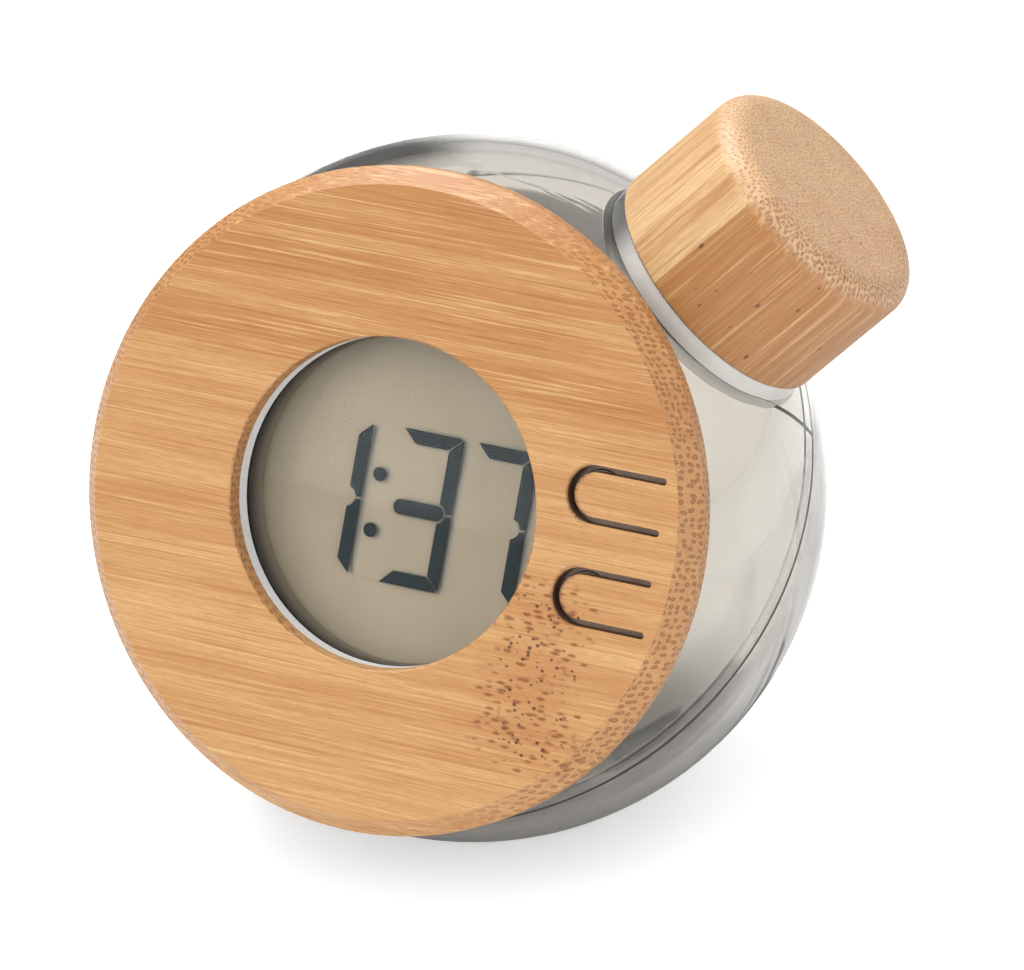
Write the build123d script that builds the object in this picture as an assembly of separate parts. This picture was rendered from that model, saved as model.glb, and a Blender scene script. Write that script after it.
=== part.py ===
# Water-powered desk clock: a clear round tank in two halves, a round bamboo front plate with
# two springy push tongues and a window, a sealed clock module behind it, and a bamboo stopper.
# Millimetres, +Z up, the front looks towards -Y, the origin is the middle of the flat foot.
import os
from math import asin, cos, degrees, radians, sin, sqrt

from build123d import *

# Tank
tank_radius = 48.8
tank_wall = 2.2
foot_cut = 4.2              # height of the ball's cap that the flat foot takes off
floor_wall = 2.4
seam_tilt = 43.8            # the seam plane leans back by this many degrees
seam_ahead = 1.2            # the seam passes this far in front of the middle of the tank
lip_height = 2.0
glue_gap = 0.05

# Front plate
face_tilt = 20.3
opening_angle = 58.083      # half of the opening behind the plate, seen from the tank's middle
plate_overhang = 3.578      # the plate reaches this far past the opening
plate_thickness = 5.3
plate_web = 2.95            # wood left in front of the pocket
bevel_width = 2.45
bevel_depth = 3.0
window_edge = 0.35          # eased front edge of the window
pocket_gap = 0.15

# Push tongues cut into the plate
tongue_height = 6.85        # each tongue's middle line above or below the middle of the face
tongue_inset = 5.65         # from the plate's rim to the tongue's root
tongue_length = 9.2         # from the root to the middle of the round free end
tongue_thickness = 2.0
slot_radius = 3.45          # middle line of the U-shaped slot
slot_width = 0.95
relief_margin = 0.8
press_travel = 0.4

# Pushers between the tongues and the switches
pusher_inset = 0.25         # the pusher stands this far past the middle of the tongue's round end
pusher_radius = 3.1
pusher_head = 1.65
pusher_stem_radius = 1.2
nub_radius = 1.0
nub_height = 0.5
nub_gap = 0.06
guide_gap = 0.15
switch_gap = 0.45
switch_size = 4.5
switch_height = 3.4
switch_dome_radius = 1.4
switch_dome_height = 0.5

# Module frame, gasket and case
frame_gap = 0.15
frame_inset = 0.422         # the frame's flange is this much smaller than the opening
gasket_width = 2.1
gasket_thickness = 0.6
case_gap = 1.606            # between the case and the edge of the opening's inside
case_wall = 1.6
case_back_wall = 1.8
case_clearance = 0.9        # behind the tallest piece on the circuit board
case_seal_width = 0.8
case_seal_depth = 0.8
boss_inset = 4.1            # from the inside of the case to the middle of a boss
boss_angle = 60.0
boss_radius = 2.2
boss_step = 0.8             # the boss is this much thicker below the circuit board
boss_gap = 0.15
screw_radius = 0.95
screw_head_radius = 1.9
screw_head_height = 1.2
screw_length = 11.0

# Display
lens_margin = 2.7           # the lens reaches this far past the window
lens_thickness = 1.0
display_lip = 4.4           # black wall between lens and display glass
display_lip_margin = 0.1    # the wall stands this far outside the window
display_corner_gap = 1.66   # from the display's corners to the rim of its holder
display_widening = 2.0      # the display is this much wider than tall
display_cover = 0.7         # the display reaches this far past the window
front_glass = 0.9
rear_glass = 1.4
glass_ledge = 3.0
reflector_thickness = 0.3
display_gap = 0.1
holder_gap = 0.7
holder_skirt = 1.5
strip_inset = 2.0           # each contact strip stops this far from the display's end
strip_width = 2.0

# Circuit board and what sits on it
board_gap = 1.1
board_thickness = 1.0
board_behind_display = 1.7
chip_radius = 4.5
chip_height = 1.4
crystal_radius = 1.0
crystal_length = 6.0
crystal_place = 13.0
capacitor_radius = 2.2
capacitor_length = 8.0
capacitor_place = -14.0

# Electrodes in the water
electrode_spacing = 14.0
electrode_thickness = 1.0
electrode_height = 20.0
electrode_length = 20.2
electrode_tab = 8.0
electrode_tab_height = 12.0
stud_radius = 1.45
stud_hole_gap = 0.05
stud_head_radius = 2.6
stud_head_height = 1.5
stud_length = 5.4
stud_seal_thickness = 0.6
nut_radius = 2.9
nut_height = 2.2
lead_radius = 0.4

# Neck and stopper
neck_rise = 45.3            # degrees above the horizontal
neck_back = 13.2            # degrees behind straight right
neck_drop = 0.8             # the stopper's seat is this much nearer the middle than the tank's outside
neck_to_seam = 0.96         # the neck stops this far from the seam
neck_wall = 4.55
collar_flare = 1.6          # the collar's tail widens by this much towards the seam
collar_past_seam = 3.49     # the collar's outline is drawn this far past the seam
stopper_overhang = 0.37
stopper_height = 20.4
stopper_top_round = 3.6
stopper_foot_round = 0.4
seat_gap = 0.1
plug_gap = 0.4
plug_length = 6.0
plug_round = 0.8
spigot_step = 3.7           # the spigot in the knob is this much thinner than the plug
spigot_length = 10.0
spigot_gap = 0.05
seal_height = 1.8
seal_depth = 1.4
seal_gap = 0.05
seal_rise = 1.0             # from the seat down to the top of the seal
stopper_screw_radius = 1.5
stopper_screw_head_radius = 3.2
stopper_screw_head_height = 2.0
stopper_screw_length = 18.0

# Main directions and places
foot_drop = tank_radius - foot_cut
opening_radius = tank_radius * sin(radians(opening_angle))
plate_ahead = tank_radius * cos(radians(opening_angle))
plate_radius = opening_radius + plate_overhang
neck_seat = tank_radius - neck_drop
tank_middle = Vector(0, 0, foot_drop)
face_normal = Vector(0, -cos(radians(face_tilt)), sin(radians(face_tilt)))
seam_normal = Vector(0, -cos(radians(seam_tilt)), sin(radians(seam_tilt)))
neck_axis = Vector(
    cos(radians(neck_rise)) * cos(radians(neck_back)),
    cos(radians(neck_rise)) * sin(radians(neck_back)),
    sin(radians(neck_rise)),
)
towards_seam = (neck_axis * seam_normal.dot(neck_axis) - seam_normal).normalized()
seam_from_neck = (seam_normal.dot(neck_axis) * tank_radius - seam_ahead) / -seam_normal.dot(towards_seam)
collar_tail = seam_from_neck + collar_past_seam
neck_radius = seam_from_neck - neck_to_seam
neck_bore = neck_radius - neck_wall
stopper_radius = neck_radius + stopper_overhang
face_place = Plane(
    origin=tank_middle + face_normal * (plate_ahead + plate_thickness),
    x_dir=(1, 0, 0),
    z_dir=face_normal,
)
seam_place = Plane(origin=tank_middle + seam_normal * seam_ahead, x_dir=(1, 0, 0), z_dir=seam_normal)
neck_place = Plane(origin=tank_middle, x_dir=towards_seam, z_dir=neck_axis)

# Depths behind the face, from front to back
frame_back = plate_thickness
lens_back = frame_back + lens_thickness
glass_front = lens_back + display_lip
glass_middle = glass_front + front_glass
glass_back = glass_middle + rear_glass
reflector_back = glass_back + reflector_thickness
board_front = reflector_back + board_behind_display
board_back = board_front + board_thickness
case_floor = board_back + 2 * capacitor_radius + case_clearance
case_back = case_floor + case_back_wall
nub_top = tongue_thickness + nub_gap
head_front = nub_top + nub_height
head_back = head_front + pusher_head
switch_top = board_front - switch_height
dome_top = switch_top - switch_dome_height
stem_back = dome_top - switch_gap
flange_back = frame_back - gasket_thickness
seal_head = case_floor - stud_seal_thickness

# Radii and places that follow from others
tank_inside = tank_radius - tank_wall
opening_inside = sqrt(tank_inside**2 - plate_ahead**2)
frame_radius = opening_radius - frame_inset
pocket_radius = frame_radius + pocket_gap
frame_step_radius = frame_radius - gasket_width - frame_gap
case_radius = opening_inside - case_gap
case_inside = case_radius - case_wall
boss_circle = case_inside - boss_inset
holder_radius = case_inside - holder_gap
display_reach = holder_radius - display_corner_gap
display_height = sqrt(2 * display_reach**2 - (display_widening / 2) ** 2) - display_widening / 2
display_width = display_height + display_widening
window_radius = display_height / 2 - display_cover
strip_length = display_width - 2 * strip_inset
tongue_root = plate_radius - tongue_inset
tongue_end = tongue_root - tongue_length
pusher_place = tongue_end - pusher_inset
board_radius = case_inside - board_gap
guide_radius = pusher_radius + guide_gap
seam_outer = sqrt(tank_radius**2 - seam_ahead**2)
seam_middle = seam_outer - tank_wall / 2
stud_place = electrode_spacing / 2 + electrode_tab / 2
case_seal_radius = case_radius - case_wall / 2
plug_radius = neck_bore - plug_gap
spigot_radius = plug_radius - spigot_step
seal_radius = neck_bore - seal_gap
seal_inside = seal_radius - seal_depth


def disc(radius, front, back, x=0.0, y=0.0):
    """Round slab between two depths behind the face."""
    return Pos(x, y, -(front + back) / 2) * Cylinder(radius, back - front)


def block(width, height, front, back, x=0.0, y=0.0):
    """Rectangular slab between two depths behind the face."""
    return Pos(x, y, -(front + back) / 2) * Box(width, height, back - front)


def stem(radius, low, high):
    """Round piece on the neck's axis between two distances from the middle of the tank."""
    return Pos(0, 0, (low + high) / 2) * Cylinder(radius, high - low)


def tongue_outline(half_width, y):
    """Flat outline of a tongue or of the cut round it: straight sides and one round end."""
    straight = Pos((tongue_end + tongue_root) / 2, y) * Rectangle(tongue_root - tongue_end, 2 * half_width)
    return straight + Pos(tongue_end, y) * Circle(half_width)


def slab(outline, front, back):
    """Flat outline pushed from one depth to another behind the face."""
    return extrude(Pos(0, 0, -back) * outline, amount=back - front)


def boss_points():
    """Middles of the four case bosses on the face."""
    right = boss_circle * cos(radians(boss_angle))
    up = boss_circle * sin(radians(boss_angle))
    return [(right, up), (-right, up), (-right, -up), (right, -up)]


def at_face(shape):
    """Moves a piece drawn behind the face to its place."""
    return face_place.location * shape


def at_neck(shape):
    """Moves a piece drawn along the neck's axis to its place."""
    return neck_place.location * shape


def write(name, shape):
    """Saves one node."""
    shape.label = name
    export_step(shape, f"parts/{name}.step")


# Bamboo front plate and its two tongues


def make_front_plate():
    wood = disc(plate_radius, 0, plate_thickness)
    wood = chamfer(wood.edges().group_by(Axis.Z)[-1], bevel_depth, bevel_width)
    wood -= disc(window_radius, 0, plate_thickness)
    window_rim = wood.edges().filter_by(GeomType.CIRCLE).group_by(SortBy.RADIUS)[0].sort_by(Axis.Z)[-1]
    wood = fillet(window_rim, window_edge)
    wood -= disc(pocket_radius, plate_web, plate_thickness)
    for y in (tongue_height, -tongue_height):
        cut = tongue_outline(slot_radius + slot_width / 2, y)
        for side in (slot_radius, -slot_radius):
            cut += Pos(tongue_root, y + side) * Circle(slot_width / 2)
        wood -= slab(cut, 0, tongue_thickness)
        relief = tongue_outline(slot_radius + slot_width / 2 + relief_margin, y)
        wood -= slab(relief, tongue_thickness, plate_web)
    return wood


def make_tongue(y):
    return slab(tongue_outline(slot_radius - slot_width / 2, y), 0, tongue_thickness)


# Clock module


def make_front_frame():
    body = disc(frame_radius, plate_web, flange_back) + disc(frame_step_radius, flange_back, frame_back)
    body -= disc(window_radius, plate_web, frame_back)
    groove = disc(case_seal_radius + case_seal_width / 2, frame_back - case_seal_depth, frame_back)
    groove -= disc(case_seal_radius - case_seal_width / 2, frame_back - case_seal_depth, frame_back)
    body -= groove
    for y in (tongue_height, -tongue_height):
        body -= disc(guide_radius, plate_web, frame_back, pusher_place, y)
    for x, y in boss_points():
        body -= disc(screw_radius + boss_gap, plate_web, frame_back, x, y)
        body -= disc(screw_head_radius + boss_gap, plate_web, plate_web + screw_head_height, x, y)
    return body


def make_shell_gasket():
    outer = disc(frame_radius, flange_back, frame_back)
    return outer - disc(frame_radius - gasket_width, flange_back, frame_back)


def make_case_seal():
    outer = disc(case_seal_radius + case_seal_width / 2, frame_back - case_seal_depth, frame_back)
    return outer - disc(case_seal_radius - case_seal_width / 2, frame_back - case_seal_depth, frame_back)


def make_module_case():
    body = disc(case_radius, frame_back, case_back) - disc(case_inside, frame_back, case_floor)
    for x, y in boss_points():
        body += disc(boss_radius, frame_back, case_floor, x, y)
        body += disc(boss_radius + boss_step, board_back, case_floor, x, y)
    for x, y in boss_points():
        body -= disc(screw_radius, frame_back, plate_web + screw_head_height + screw_length, x, y)
    for x in (stud_place, -stud_place):
        body -= disc(stud_radius + stud_hole_gap, case_floor, case_back, x)
    return body


def make_case_screws():
    head_back_face = plate_web + screw_head_height
    screws = []
    for x, y in boss_points():
        head = disc(screw_head_radius, plate_web, head_back_face, x, y)
        screws.append(head + disc(screw_radius, head_back_face, head_back_face + screw_length, x, y))
    return Compound(children=screws)


def make_pusher(y):
    piece = disc(nub_radius, nub_top, head_front, pusher_place, y)
    piece += disc(pusher_radius, head_front, head_back, pusher_place, y)
    return piece + disc(pusher_stem_radius, head_back, stem_back, pusher_place, y)


def make_switch_bodies():
    switches = []
    for y in (tongue_height, -tongue_height):
        body = block(switch_size, switch_size, switch_top, board_front, pusher_place, y)
        switches.append(body + disc(switch_dome_radius, dome_top, switch_top, pusher_place, y))
    return Compound(children=switches)


# Display stack


def make_window_lens():
    return disc(window_radius + lens_margin, frame_back, lens_back)


def make_lcd_holder():
    body = disc(holder_radius, frame_back, reflector_back)
    skirt = disc(holder_radius, reflector_back, board_front)
    body += skirt - disc(holder_radius - holder_skirt, reflector_back, board_front)
    body -= disc(window_radius + lens_margin + display_gap, frame_back, lens_back)
    body -= disc(window_radius + display_lip_margin, lens_back, glass_front)
    pocket_width = display_width + 2 * display_gap
    pocket_height = display_height + 2 * display_gap
    body -= block(pocket_width, pocket_height, glass_front, reflector_back)
    for y in (tongue_height, -tongue_height):
        body -= disc(switch_size * sqrt(0.5) + 2 * guide_gap, frame_back, board_front, pusher_place, y)
    for x, y in boss_points():
        body -= disc(boss_radius + boss_gap, frame_back, board_front, x, y)
    return body


def make_lcd_cell():
    front = block(display_width, display_height, glass_front, glass_middle)
    return front + block(display_width, display_height - 2 * glass_ledge, glass_middle, glass_back)


def make_lcd_reflector():
    return block(display_width, display_height - 2 * glass_ledge, glass_back, reflector_back)


def make_zebra_strips():
    up = display_height / 2 - glass_ledge / 2
    strips = []
    for y in (up, -up):
        strips.append(block(strip_length, strip_width, glass_middle, board_front, 0, y))
    return Compound(children=strips)


# Circuit board


def make_circuit_board():
    board = disc(board_radius, board_front, board_back)
    for x, y in boss_points():
        board -= disc(boss_radius + boss_gap, board_front, board_back, x, y)
    return board


def make_clock_chip():
    ball_radius = (chip_radius**2 + chip_height**2) / (2 * chip_height)
    ball = Pos(0, 0, -(board_back + chip_height - ball_radius)) * Sphere(ball_radius)
    return ball & disc(chip_radius, board_back, board_back + chip_height)


def make_crystal():
    can = Rot(0, 90, 0) * Cylinder(crystal_radius, crystal_length)
    return Pos(0, crystal_place, -(board_back + crystal_radius)) * can


def make_capacitor():
    can = Rot(0, 90, 0) * Cylinder(capacitor_radius, capacitor_length)
    return Pos(0, capacitor_place, -(board_back + capacitor_radius)) * can


# Electrodes and their terminals


def make_electrode(side):
    inner = side * electrode_spacing / 2
    plate_x = inner + side * electrode_thickness / 2
    plate = block(electrode_thickness, electrode_height, case_back, case_back + electrode_length, plate_x)
    tab_x = inner + side * electrode_tab / 2
    tab_back = case_back + electrode_thickness
    tab = block(electrode_tab, electrode_tab_height, case_back, tab_back, tab_x)
    return plate + tab - disc(stud_radius + stud_hole_gap, case_back, tab_back, side * stud_place)


def make_terminal_studs():
    studs = []
    for x in (stud_place, -stud_place):
        head = disc(stud_head_radius, seal_head - stud_head_height, seal_head, x)
        studs.append(head + disc(stud_radius, seal_head, case_back + stud_length, x))
    return Compound(children=studs)


def make_stud_seals():
    seals = []
    for x in (stud_place, -stud_place):
        ring = disc(stud_head_radius, seal_head, case_floor, x)
        seals.append(ring - disc(stud_radius, seal_head, case_floor, x))
    return Compound(children=seals)


def make_terminal_nuts():
    low = case_back + electrode_thickness
    nuts = []
    for x in (stud_place, -stud_place):
        outline = Pos(x, 0) * RegularPolygon(nut_radius, 6)
        nuts.append(slab(outline, low, low + nut_height) - disc(stud_radius, low, low + nut_height, x))
    return Compound(children=nuts)


def make_lead_wires():
    leads = []
    for x in (stud_place, -stud_place):
        leads.append(disc(lead_radius, board_back, seal_head - stud_head_height, x))
    return Compound(children=leads)


# Tank: two shells and the neck collar that is held in a notch at their seam


def make_tank_wall():
    """Hollow ball with a flat foot, before it is cut into pieces."""
    reach = 2 * tank_radius
    ball = Pos(tank_middle) * Sphere(tank_radius)
    ball &= Pos(0, 0, reach) * Box(2 * reach, 2 * reach, 2 * reach)
    hollow = Pos(tank_middle) * Sphere(tank_inside)
    hollow &= Pos(0, 0, reach + floor_wall) * Box(2 * reach, 2 * reach, 2 * reach)
    return ball - hollow


def neck_outline(gap):
    """Outline of the collar seen along the neck: half a circle and a tail that widens to the seam."""
    side = neck_radius + gap
    far = side + collar_flare
    with BuildSketch() as outline:
        with BuildLine():
            ThreePointArc((0, -side), (-side, 0), (0, side))
            Polyline((0, side), (collar_tail, far), (collar_tail, -far), (0, -side))
        make_face()
    return outline.sketch


def neck_column(gap):
    """The collar's outline pushed out through the tank wall."""
    low = tank_inside / 2
    return at_neck(extrude(Pos(0, 0, low) * neck_outline(gap), amount=tank_radius))


def lip_space(gap):
    """Room for the rear shell's lip inside the front shell's edge."""
    height = lip_height + gap
    return seam_place.location * (Pos(0, 0, height / 2) * Cylinder(seam_middle - glue_gap + gap, height))


def make_front_shell(wall):
    shell = split(wall, bisect_by=seam_place, keep=Keep.TOP)
    reach = 2 * tank_radius
    shell -= at_face(Pos(0, 0, reach / 2 - plate_thickness) * Box(2 * reach, 2 * reach, reach))
    shell -= lip_space(glue_gap)
    return shell - neck_column(glue_gap)


def make_rear_shell(wall):
    shell = split(wall, bisect_by=seam_place, keep=Keep.BOTTOM)
    return shell + (wall & lip_space(0))


def make_neck_collar(wall):
    patch = split(wall, bisect_by=seam_place, keep=Keep.TOP) & neck_column(0)
    boss = at_neck(stem(neck_radius, tank_inside / 2, neck_seat)) - Pos(tank_middle) * Sphere(tank_inside)
    collar = patch + split(boss, bisect_by=seam_place, keep=Keep.TOP)
    collar -= lip_space(glue_gap)
    return collar - at_neck(stem(neck_bore, 0, 2 * tank_radius))


# Stopper


def make_stopper_knob():
    low = neck_seat + seat_gap
    knob = stem(stopper_radius, low, low + stopper_height)
    knob = fillet(knob.edges().group_by(Axis.Z)[-1], stopper_top_round)
    knob = fillet(knob.edges().group_by(Axis.Z)[0], stopper_foot_round)
    knob -= stem(spigot_radius + spigot_gap, low, low + spigot_length)
    screw_end = low - plug_length + stopper_screw_head_height + stopper_screw_length
    return knob - stem(stopper_screw_radius, low, screw_end)


def make_stopper_plug():
    top = neck_seat + seat_gap
    plug = stem(plug_radius, top - plug_length, top)
    plug = fillet(plug.edges().group_by(Axis.Z)[0], plug_round)
    plug += stem(spigot_radius, top, top + spigot_length)
    seal_top = neck_seat - seal_rise
    groove = stem(neck_bore, seal_top - seal_height, seal_top)
    plug -= groove - stem(seal_inside, seal_top - seal_height, seal_top)
    low = top - plug_length
    plug -= stem(stopper_screw_radius, low, top + spigot_length)
    return plug - stem(stopper_screw_head_radius, low, low + stopper_screw_head_height)


def make_stopper_seal():
    seal_top = neck_seat - seal_rise
    ring = stem(seal_radius, seal_top - seal_height, seal_top)
    return ring - stem(seal_inside, seal_top - seal_height, seal_top)


def make_stopper_screw():
    low = neck_seat + seat_gap - plug_length
    head = stem(stopper_screw_head_radius, low, low + stopper_screw_head_height)
    shank_low = low + stopper_screw_head_height
    return head + stem(stopper_screw_radius, shank_low, shank_low + stopper_screw_length)


os.makedirs("parts", exist_ok=True)
write("front_plate", at_face(make_front_plate()))
write("button_upper", at_face(make_tongue(tongue_height)))
write("button_lower", at_face(make_tongue(-tongue_height)))
write("front_frame", at_face(make_front_frame()))
write("shell_gasket", at_face(make_shell_gasket()))
write("case_seal", at_face(make_case_seal()))
write("module_case", at_face(make_module_case()))
write("case_screws", at_face(make_case_screws()))
write("pusher_upper", at_face(make_pusher(tongue_height)))
write("pusher_lower", at_face(make_pusher(-tongue_height)))
write("switch_bodies", at_face(make_switch_bodies()))
write("window_lens", at_face(make_window_lens()))
write("lcd_holder", at_face(make_lcd_holder()))
write("lcd_cell", at_face(make_lcd_cell()))
write("lcd_reflector", at_face(make_lcd_reflector()))
write("zebra_strips", at_face(make_zebra_strips()))
write("circuit_board", at_face(make_circuit_board()))
write("clock_chip", at_face(make_clock_chip()))
write("crystal", at_face(make_crystal()))
write("capacitor", at_face(make_capacitor()))
write("zinc_electrode", at_face(make_electrode(-1)))
write("copper_electrode", at_face(make_electrode(1)))
write("terminal_studs", at_face(make_terminal_studs()))
write("stud_seals", at_face(make_stud_seals()))
write("terminal_nuts", at_face(make_terminal_nuts()))
write("lead_wires", at_face(make_lead_wires()))
tank_ball = make_tank_wall()
write("front_shell", make_front_shell(tank_ball))
write("rear_shell", make_rear_shell(tank_ball))
write("neck_collar", make_neck_collar(tank_ball))
write("stopper_knob", at_neck(make_stopper_knob()))
write("stopper_plug", at_neck(make_stopper_plug()))
write("stopper_seal", at_neck(make_stopper_seal()))
write("stopper_screw", at_neck(make_stopper_screw()))

# Angle through which a tongue is pressed, for its joint
print("tongue press angle", round(degrees(asin(press_travel / (tongue_root - pusher_place))), 3))
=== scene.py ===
from math import atan2, cos, pi, radians, sin

import bmesh
import bpy
from mathutils import Matrix, Vector


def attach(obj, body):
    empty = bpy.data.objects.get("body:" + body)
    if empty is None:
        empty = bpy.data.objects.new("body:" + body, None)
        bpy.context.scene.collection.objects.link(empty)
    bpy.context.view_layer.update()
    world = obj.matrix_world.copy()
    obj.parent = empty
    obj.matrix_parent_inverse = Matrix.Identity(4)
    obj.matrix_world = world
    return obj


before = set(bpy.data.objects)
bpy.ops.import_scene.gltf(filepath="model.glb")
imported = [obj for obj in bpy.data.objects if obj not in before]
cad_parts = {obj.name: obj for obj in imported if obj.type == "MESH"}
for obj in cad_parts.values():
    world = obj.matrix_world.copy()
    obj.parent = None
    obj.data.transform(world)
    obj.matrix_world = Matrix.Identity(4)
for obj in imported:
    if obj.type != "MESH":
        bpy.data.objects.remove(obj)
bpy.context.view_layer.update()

MM = 1000  # millimetres in a metre

# Places shared with the solids, in millimetres: the tank, the face, the neck and the slots
TANK_MIDDLE = Vector((0, 0, 44.6))
TANK_OUTSIDE = 48.8
TANK_INSIDE = 46.6
TANK_BOTTOM = 2.4
FACE_TILT = radians(20.3)
FACE_RIGHT = Vector((1, 0, 0))
FACE_UP = Vector((0, sin(FACE_TILT), cos(FACE_TILT)))
FACE_OUT = Vector((0, -cos(FACE_TILT), sin(FACE_TILT)))
FACE_MIDDLE = TANK_MIDDLE + FACE_OUT * 31.1
POCKET_OFFSET = 25.8
SEAM_TILT = radians(43.8)
SEAM_OUT = Vector((0, -cos(SEAM_TILT), sin(SEAM_TILT)))
NECK_AXIS = Vector((0.68481, 0.160621, 0.710799)).normalized()
NECK_SIDE = (NECK_AXIS * SEAM_OUT.dot(NECK_AXIS) - SEAM_OUT).normalized()
NECK_ACROSS = NECK_AXIS.cross(NECK_SIDE)
NECK_RADIUS = 17.55
NECK_BORE = 13.0
NECK_END = 48.0
TONGUE_HEIGHT = 6.85
TONGUE_END = 30.15
SLOT_RADIUS = 3.45
DIGIT_DEPTH = 10.82
FOIL_DEPTH = 11.55

TANK_TINT = (0.745, 0.72, 0.675)
TANK_IOR = 1.47
DISPLAY_IOR = 1.16  # low, so that the lens and the display stay free of glare

# What differs between the two pieces of bamboo: sizes in millimetres, weights and colours
FACE_WOOD = {
    "bundle": 0.98,
    "dot": 0.80,
    "dot_weight": 0.32,
    "dot_colour": (0.28, 0.120, 0.050),
    "ring_colour": (0.235, 0.078, 0.021),
    "end_colour": (0.520, 0.250, 0.090),
    "pale_strip": (0.640, 0.350, 0.140),
    "dark_strip": (0.550, 0.262, 0.092),
}
STOPPER_WOOD = {
    "bundle": 0.74,
    "dot": 0.60,
    "dot_weight": 0.72,
    "dot_colour": (0.36, 0.158, 0.072),
    "ring_colour": (0.25, 0.098, 0.036),
    "end_colour": (0.74, 0.490, 0.305),
    "pale_strip": (0.755, 0.510, 0.268),
    "dark_strip": (0.455, 0.215, 0.078),
}

# Where the bamboo's figure starts and is full, in millimetres on the face or across the stopper
FACE_STRIP = (16.15, 16.55)
STOPPER_STRIP = (-3.45, -3.75)
STOPPER_RIM = (12.0, 16.5)
CANE_NODE_X = 25.4
CANE_NODE_BOTTOM = (-33.0, -27.0)
CANE_NODE_TOP = (-4.2, -9.0)
SLOT_LEG_END = (10.4, 9.9)
SLOT_WALL = (0.62, 0.52)

CLOUD_DARK = (0.475, 0.202, 0.060)
CLOUD_PALE = (0.74, 0.455, 0.205)
STREAK_DARK = (0.42, 0.165, 0.044)
STREAK_PALE = (0.80, 0.530, 0.258)
HAIR_DARK = (0.35, 0.142, 0.042)
HAIR_PALE = (0.86, 0.600, 0.315)
MOTTLE_DARK = (0.41, 0.185, 0.064)
BUNDLE_CORE = (0.350, 0.155, 0.056)
NODE_TONE = (0.47, 0.195, 0.062)
NODE_DASH = (0.26, 0.083, 0.022)
NODE_SPOT = (0.085, 0.028, 0.012)
SCORCH = (0.085, 0.034, 0.014)
CHAR = (0.13, 0.066, 0.036)
SPECK = (0.11, 0.040, 0.014)

# Other finishes, and where painted shade and painted reflections lie
FINE_GRAIN = 900.0
LAYERS_PER_MM = 5.0
SLOT_SHADE_X = (24.0, 26.0)
SLOT_SHADE_Y = (13.0, 11.5)
WELL_REFLECTION_DEPTHS = (-6.4, -10.8)
NECK_DARK_REFLECTION = (0.0, 8.0)


def face_point(x, y, depth):
    """Point on the face, depth millimetres behind its front, in metres."""
    return (FACE_MIDDLE + FACE_RIGHT * x + FACE_UP * y - FACE_OUT * depth) / MM


def grey(level):
    """Colour with three equal parts."""
    return (level, level, level)


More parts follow.
